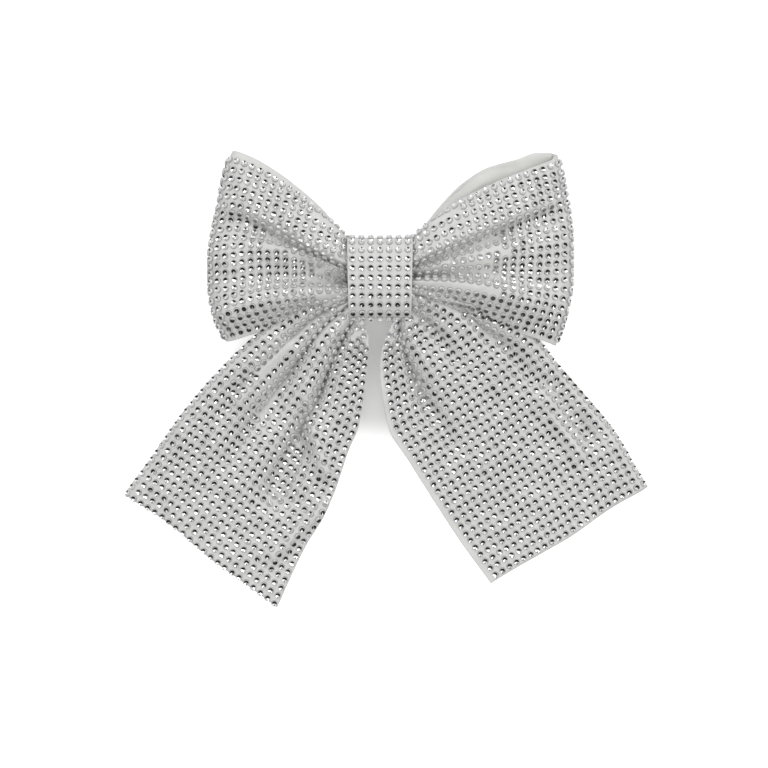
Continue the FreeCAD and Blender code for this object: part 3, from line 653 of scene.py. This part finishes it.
satin = make_satin("satin", (0.60, 0.60, 0.58), 0.42)
studded = make_satin("studded_satin", (0.57, 0.57, 0.555), 0.5)
crystal = make_crystal()
nickel = make_metal("nickel_plate", (0.72, 0.70, 0.66), 0.22, 900)
steel = make_metal("steel_wire", (0.62, 0.62, 0.62), 0.25, 1600)
felt = make_soft("felt", (0.62, 0.62, 0.60), 1800, 0.0002)
thread = make_soft("thread", (0.75, 0.74, 0.70), 2500, 0.00015)
glue = make_soft("glue", (0.6, 0.56, 0.46), 500, 0.0001)


# ---------------------------------------------------------------- the bow

BAND_COLUMNS, BAND_PITCH, BAND_GAP = 7, 2.71, 2.2
WINDING_SCALE = np.array([0.14, 0.78, 0.78])
WINDING_THICKNESS = 0.5


def row_shares(surface, start_row, first_margin, last_margin):
    """Shares of the grid's width that put the rows of stones evenly apart where the ribbon lies open."""
    low, high = int(start_row * 0.66), int(start_row * 0.92)
    ahead = np.gradient(surface, axis=0)[low:high]
    ahead /= np.linalg.norm(ahead, axis=2, keepdims=True)
    across = np.diff(surface[low:high], axis=1)
    lengthwise = (across * ahead[:, :-1]).sum(axis=2, keepdims=True)
    apart = np.linalg.norm(across - lengthwise * ahead[:, :-1], axis=2).mean(axis=0)
    reach = np.concatenate([[0], np.cumsum(apart)])
    rows = np.linspace(first_margin, reach[-1] - last_margin, ROW_COUNT)
    return np.interp(rows, reach, np.linspace(0, 1, len(reach)))


def make_ribbon(part, grids, start_row, margins):
    """Face cloth, lining and stones of one length of ribbon."""
    surface, ruler = grids
    shares = row_shares(ruler, start_row, *margins)
    if surface_normals(surface)[: surface.shape[0] // 3, :, 1].mean() > 0:
        surface, ruler, shares = surface[:, ::-1], ruler[:, ::-1], 1 - shares
    face = cloth_piece(part + "_cloth", surface, CLOTH, 0.0, studded)
    lining = cloth_piece(part + "_satin", surface, LINING, CLOTH, satin)
    spots = stones_on(surface, ruler, start_row, COLUMN_PITCH, STONE_GAP, shares)
    stones = place_stones(part + "_stones", spots, crystal)
    for piece, layer, slot in ((face, "_face", "studded_satin"), (lining, "_lining", "satin_lining")):
        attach(piece, "bow")
        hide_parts(part + layer)


# The margins are the bare cloth beside the first and the last row of stones.
left_loop = loop_surface(LEFT_LINES, LEFT_FOLD, LEFT_BACK, side=-1, seed=3)
make_ribbon("loop_left", left_loop, FRONT_STEPS, (2.7, 2.2))
right_loop = loop_surface(RIGHT_LINES, RIGHT_FOLD, RIGHT_BACK, side=1, seed=17)
make_ribbon("loop_right", right_loop, FRONT_STEPS, (1.6, 2.2))
make_ribbon("tail_left", tail_surface(LEFT_TAIL, 29), TAIL_STEPS - 4, (0.9, 1.2))
make_ribbon("tail_right", tail_surface(RIGHT_TAIL, 43), TAIL_STEPS - 2, (0.9, 2.7))

band = band_surface()
middle_line = band[:, BAND_WIDTH_STEPS // 2]
front = int(np.argmin(middle_line[:, 1]))
if surface_normals(band)[front, BAND_WIDTH_STEPS // 2, 1] > 0:
    band = band[:, ::-1]
band_face = cloth_piece("knot_band_cloth", band, CLOTH, 0.0, studded)
band_lining = cloth_piece("knot_band_satin", band, LINING, CLOTH, satin)
band_places = (np.arange(BAND_COLUMNS) - (BAND_COLUMNS - 1) / 2) * BAND_PITCH
band_shares = band_places / (2 * BAND_HALF_WIDTH) + 0.5
band_spots = stones_on(band, band, front, BAND_PITCH, BAND_GAP, band_shares)
band_stones = place_stones("knot_band_stones", band_spots, crystal)
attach(band_face, "bow")
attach(band_lining, "bow")
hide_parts("knot_band_face")
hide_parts("knot_band_lining")
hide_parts("knot_rhinestones")

# The winding is small enough to stay hidden inside the band's lining.
winding_surface = (band - BAND_MIDDLE) * WINDING_SCALE + BAND_MIDDLE
winding = cloth_piece("thread_winding", winding_surface, WINDING_THICKNESS, 0.0, thread)
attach(winding, "bow")
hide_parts("binding_thread")

for name, material in (
    ("band_glue", glue),
    ("felt_pad", felt),
    ("bar_glue", glue),
    ("pin_bar", nickel),
    ("hinge_rivet", steel),
    ("pin_stem", steel),
    ("catch_rotor", nickel),
):
    mesh = nodes[name].data
    mesh.materials.clear()
    mesh.materials.append(material)


# ---------------------------------------------------------------- stage, light and camera


WALL_Y = 0.003
WALL_HALF_WIDTH, WALL_HALF_HEIGHT = 1.2, 1.0
WALL_TONE = (0.78, 0.78, 0.78, 1)
# Painted light: the sheet glows more the farther it is from a patch between the tails, which washes out the
# bow's shadows everywhere but there.
GAP_CENTRE = (0, WALL_Y, -0.02)
GAP_RADIUS = 0.0225
GLOW_RADIUS = 0.035
WALL_PAINTED_GLOW = 0.45


def make_wall(material):
    """The upright white sheet behind the bow. Only the camera sees it."""
    bm = bmesh.new()
    bmesh.ops.create_grid(bm, x_segments=1, y_segments=1, size=1)
    bmesh.ops.scale(bm, verts=bm.verts, vec=(WALL_HALF_WIDTH, WALL_HALF_HEIGHT, 1))
    upright = Matrix.Rotation(math.radians(90), 3, "X")
    bmesh.ops.rotate(bm, verts=bm.verts, cent=(0, 0, 0), matrix=upright)
    bmesh.ops.translate(bm, verts=bm.verts, vec=(0, WALL_Y, 0))
    mesh = bpy.data.meshes.new("backdrop")
    bm.to_mesh(mesh)
    bm.free()
    mesh.materials.append(material)
    wall = bpy.data.objects.new("backdrop", mesh)
    bpy.context.scene.collection.objects.link(wall)
    wall.visible_diffuse = False
    wall.visible_glossy = False
    wall.visible_transmission = False
    wall.visible_shadow = False


def make_wall_material():
    """Matt sheet seen only from its front and not edge on. Grey between the tails and white elsewhere: it
    glows with painted light that washes out the bow's shadows, except in a patch between the tails where
    the real cast shadow stays.
    """
    material, made, links, shader = new_material("white_sheet")
    shader.inputs["Base Color"].default_value = WALL_TONE
    shader.inputs["Emission Color"].default_value = (1, 1, 1, 1)
    place = made.new("ShaderNodeTexCoord")
    reach = made.new("ShaderNodeVectorMath")
    reach.operation = "DISTANCE"
    reach.inputs[1].default_value = GAP_CENTRE
    links.new(place.outputs["Object"], reach.inputs[0])
    # Painted glow: none near the gap between the tails, rising to full strength beyond the outer radius.
    painted_glow = made.new("ShaderNodeMapRange")
    painted_glow.interpolation_type = "SMOOTHSTEP"
    painted_glow.inputs["From Min"].default_value = GAP_RADIUS
    painted_glow.inputs["From Max"].default_value = GLOW_RADIUS
    painted_glow.inputs["To Min"].default_value = 0
    painted_glow.inputs["To Max"].default_value = WALL_PAINTED_GLOW
    links.new(reach.outputs["Value"], painted_glow.inputs["Value"])
    links.new(painted_glow.outputs["Result"], shader.inputs["Emission Strength"])
    shader.inputs["Roughness"].default_value = 1
    shader.inputs["Specular IOR Level"].default_value = 0
    clear = made.new("ShaderNodeBsdfTransparent")
    side = made.new("ShaderNodeNewGeometry")
    mix = made.new("ShaderNodeMixShader")
    tilt = made.new("ShaderNodeLayerWeight")
    edge_on = made.new("ShaderNodeMapRange")
    edge_on.inputs["From Min"].default_value = 0.6
    edge_on.inputs["From Max"].default_value = 0.8
    links.new(tilt.outputs["Facing"], edge_on.inputs["Value"])
    unseen = made.new("ShaderNodeMath")
    unseen.operation = "MAXIMUM"
    links.new(edge_on.outputs["Result"], unseen.inputs[0])
    links.new(side.outputs["Backfacing"], unseen.inputs[1])
    links.new(unseen.outputs["Value"], mix.inputs["Fac"])
    links.new(shader.outputs["BSDF"], mix.inputs[1])
    links.new(clear.outputs["BSDF"], mix.inputs[2])
    links.new(mix.outputs["Shader"], made["Material Output"].inputs["Surface"])
    return material


make_wall(make_wall_material())

ROOM_FLOOR = 0.44
ROOM_CEILING = 0.82
MIRROR_BRIGHT = 0.98
MIRROR_DARK = 0.03


def make_room():
    """A pale room. Only mirrors see its dark floor and the dark gap between its bright sides in front."""
    world = bpy.data.worlds.new("room")
    bpy.context.scene.world = world
    world.use_nodes = True
    made, links = world.node_tree.nodes, world.node_tree.links
    place = made.new("ShaderNodeTexCoord")
    split = made.new("ShaderNodeSeparateXYZ")
    links.new(place.outputs["Generated"], split.inputs["Vector"])

    def calculate(kind, first, second):
        step = made.new("ShaderNodeMath")
        step.operation = kind
        for socket, value in zip(step.inputs, (first, second)):
            if hasattr(value, "is_output"):
                links.new(value, socket)
            elif value is not None:
                socket.default_value = value
        return step.outputs["Value"]

    def soft_step(value, start, end):
        spread = made.new("ShaderNodeMapRange")
        spread.interpolation_type = "SMOOTHSTEP"
        spread.inputs["From Min"].default_value = start
        spread.inputs["From Max"].default_value = end
        links.new(value, spread.inputs["Value"])
        return spread.outputs["Result"]

    sideways = calculate("ABSOLUTE", split.outputs["X"], None)
    off_gap = soft_step(sideways, 0.12, 0.22)
    overhead = soft_step(split.outputs["Z"], 0.75, 0.9)
    above = soft_step(split.outputs["Z"], 0.02, 0.2)
    behind = soft_step(split.outputs["Y"], 0.1, 0.4)
    ahead = calculate("MULTIPLY", above, calculate("MAXIMUM", off_gap, overhead))
    lit = calculate("MAXIMUM", ahead, behind)
    bright = calculate("MULTIPLY_ADD", lit, MIRROR_BRIGHT)
    bright.node.inputs[2].default_value = MIRROR_DARK
    path = made.new("ShaderNodeLightPath")
    mix = made.new("ShaderNodeMix")
    shade = made.new("ShaderNodeMapRange")
    shade.inputs["From Min"].default_value = -1
    shade.inputs["To Min"].default_value = ROOM_FLOOR
    shade.inputs["To Max"].default_value = ROOM_CEILING
    links.new(split.outputs["Z"], shade.inputs["Value"])
    links.new(shade.outputs["Result"], mix.inputs["A"])
    links.new(path.outputs["Is Glossy Ray"], mix.inputs["Factor"])
    links.new(bright, mix.inputs["B"])
    made["Background"].inputs["Color"].default_value = (1, 1, 1, 1)
    seen = made.new("ShaderNodeMix")
    seen.inputs["B"].default_value = 1
    links.new(path.outputs["Is Camera Ray"], seen.inputs["Factor"])
    links.new(mix.outputs["Result"], seen.inputs["A"])
    links.new(seen.outputs["Result"], made["Background"].inputs["Strength"])


make_room()


def add_area_light(name, place, target, size, power, in_mirrors=True):
    """A soft light aimed at a point, which mirrors may or may not show."""
    data = bpy.data.lights.new(name, "AREA")
    data.size = size
    data.energy = power
    light = bpy.data.objects.new(name, data)
    light.location = place
    light.rotation_euler = (Vector(target) - Vector(place)).to_track_quat("-Z", "Y").to_euler()
    light.visible_glossy = in_mirrors
    bpy.context.scene.collection.objects.link(light)


add_area_light("key", (-0.25, -0.7, 0.65), (0, 0, -0.03), 0.35, 2.0)
add_area_light("fill", (0.45, -0.8, 0.1), (0, 0, -0.05), 0.5, 1.6)
add_area_light("lower_fill", (0, -0.8, -0.2), (0, 0, -0.08), 0.5, 2.6, in_mirrors=False)
add_area_light("back_light", (0.3, 0.8, 0.35), (0, 0, -0.03), 0.5, 3.0, in_mirrors=False)

camera_data = bpy.data.cameras.new("camera")
camera_data.lens = 92
camera_data.sensor_width = 36
camera_data.clip_start = 0.01
camera = bpy.data.objects.new("camera", camera_data)
camera.location = (0.0012, -0.6, -0.0333)
camera.rotation_euler = (math.radians(90), 0, 0)
bpy.context.scene.collection.objects.link(camera)
bpy.context.scene.camera = camera
bpy.context.scene.view_settings.view_transform = "Standard"
